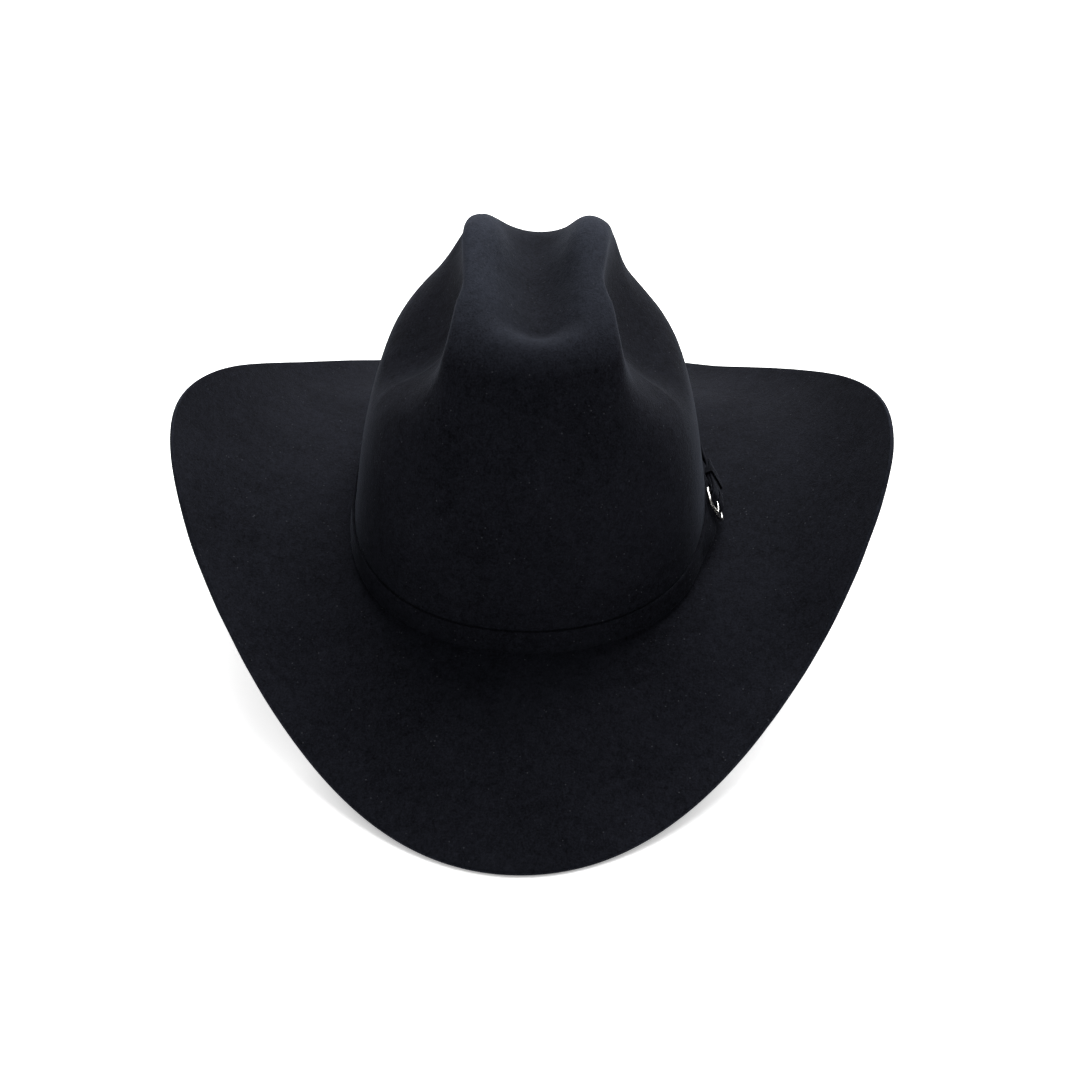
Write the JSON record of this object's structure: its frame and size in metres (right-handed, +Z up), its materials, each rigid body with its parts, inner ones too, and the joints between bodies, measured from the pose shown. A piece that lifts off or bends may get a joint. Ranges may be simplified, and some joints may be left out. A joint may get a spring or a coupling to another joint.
{
  "type": "cowboy hat",
  "caption": "Western hat with a creased felt crown, a side-rolled brim, a narrow band with a small buckle, and a leather sweatband.",
  "frame": {"origin": "middle of the footprint, at the level on which the front and back tips of the brim rest", "axes": "+X to the wearer's left, -Y to the front, +Z up through the crown"},
  "size_m": [0.337, 0.4188, 0.171],
  "materials": {
    "black_fur_felt": "brushed fur felt, matt with a faint sheen",
    "band_felt": "narrow band of the same felt",
    "antique_silver": "silver finish, darkened in the engraving",
    "tongue_silver": "silver finish",
    "keeper_felt": "loop of the same felt",
    "sweatband_leather": "smooth sheep leather",
    "reed_tape_cloth": "woven tape",
    "seam_tape_cloth": "woven tape",
    "reed_plastic": "flexible plastic cord",
    "sweatband_thread": "waxed thread",
    "bow_ribbon": "satin ribbon",
    "ivory_satin": "satin",
    "piping_cord": "covered cord",
    "clear_vinyl": "clear flexible film"
  },
  "bodies": {
    "hat": {"felt_body": "black_fur_felt", "band_strap": "band_felt", "sweatband": "sweatband_leather", "reed_tape": "reed_tape_cloth", "sweatband_seam_tape": "seam_tape_cloth", "sweatband_reed": "reed_plastic", "sweatband_thread": "sweatband_thread", "sweatband_bow": "bow_ribbon", "lining_tip": "ivory_satin", "lining_side": "ivory_satin", "lining_piping": "piping_cord", "lining_shield": "clear_vinyl"},
    "frame": {"buckle_frame": "antique_silver"},
    "tongue": {"buckle_tongue": "tongue_silver"},
    "keeper": {"band_keeper": "keeper_felt"}
  },
  "joints": [
    {"name": "frame_swing", "type": "hinge", "parent": "hat", "child": "frame", "pos_m": [0.08696, -0.01715, 0.05076], "axis": [-0.4846, -0.0153, 0.8746], "range_deg": [0, 22]},
    {"name": "tongue_swing", "type": "hinge", "parent": "frame", "child": "tongue", "pos_m": [0.08696, -0.01715, 0.05076], "axis": [-0.4846, -0.0153, 0.8746], "range_deg": [0, 65]},
    {"name": "keeper_slide", "type": "slide", "parent": "hat", "child": "keeper", "axis": [0.0009, 1, 0.004], "range_m": [-0.0015, 0.004]}
  ]
}
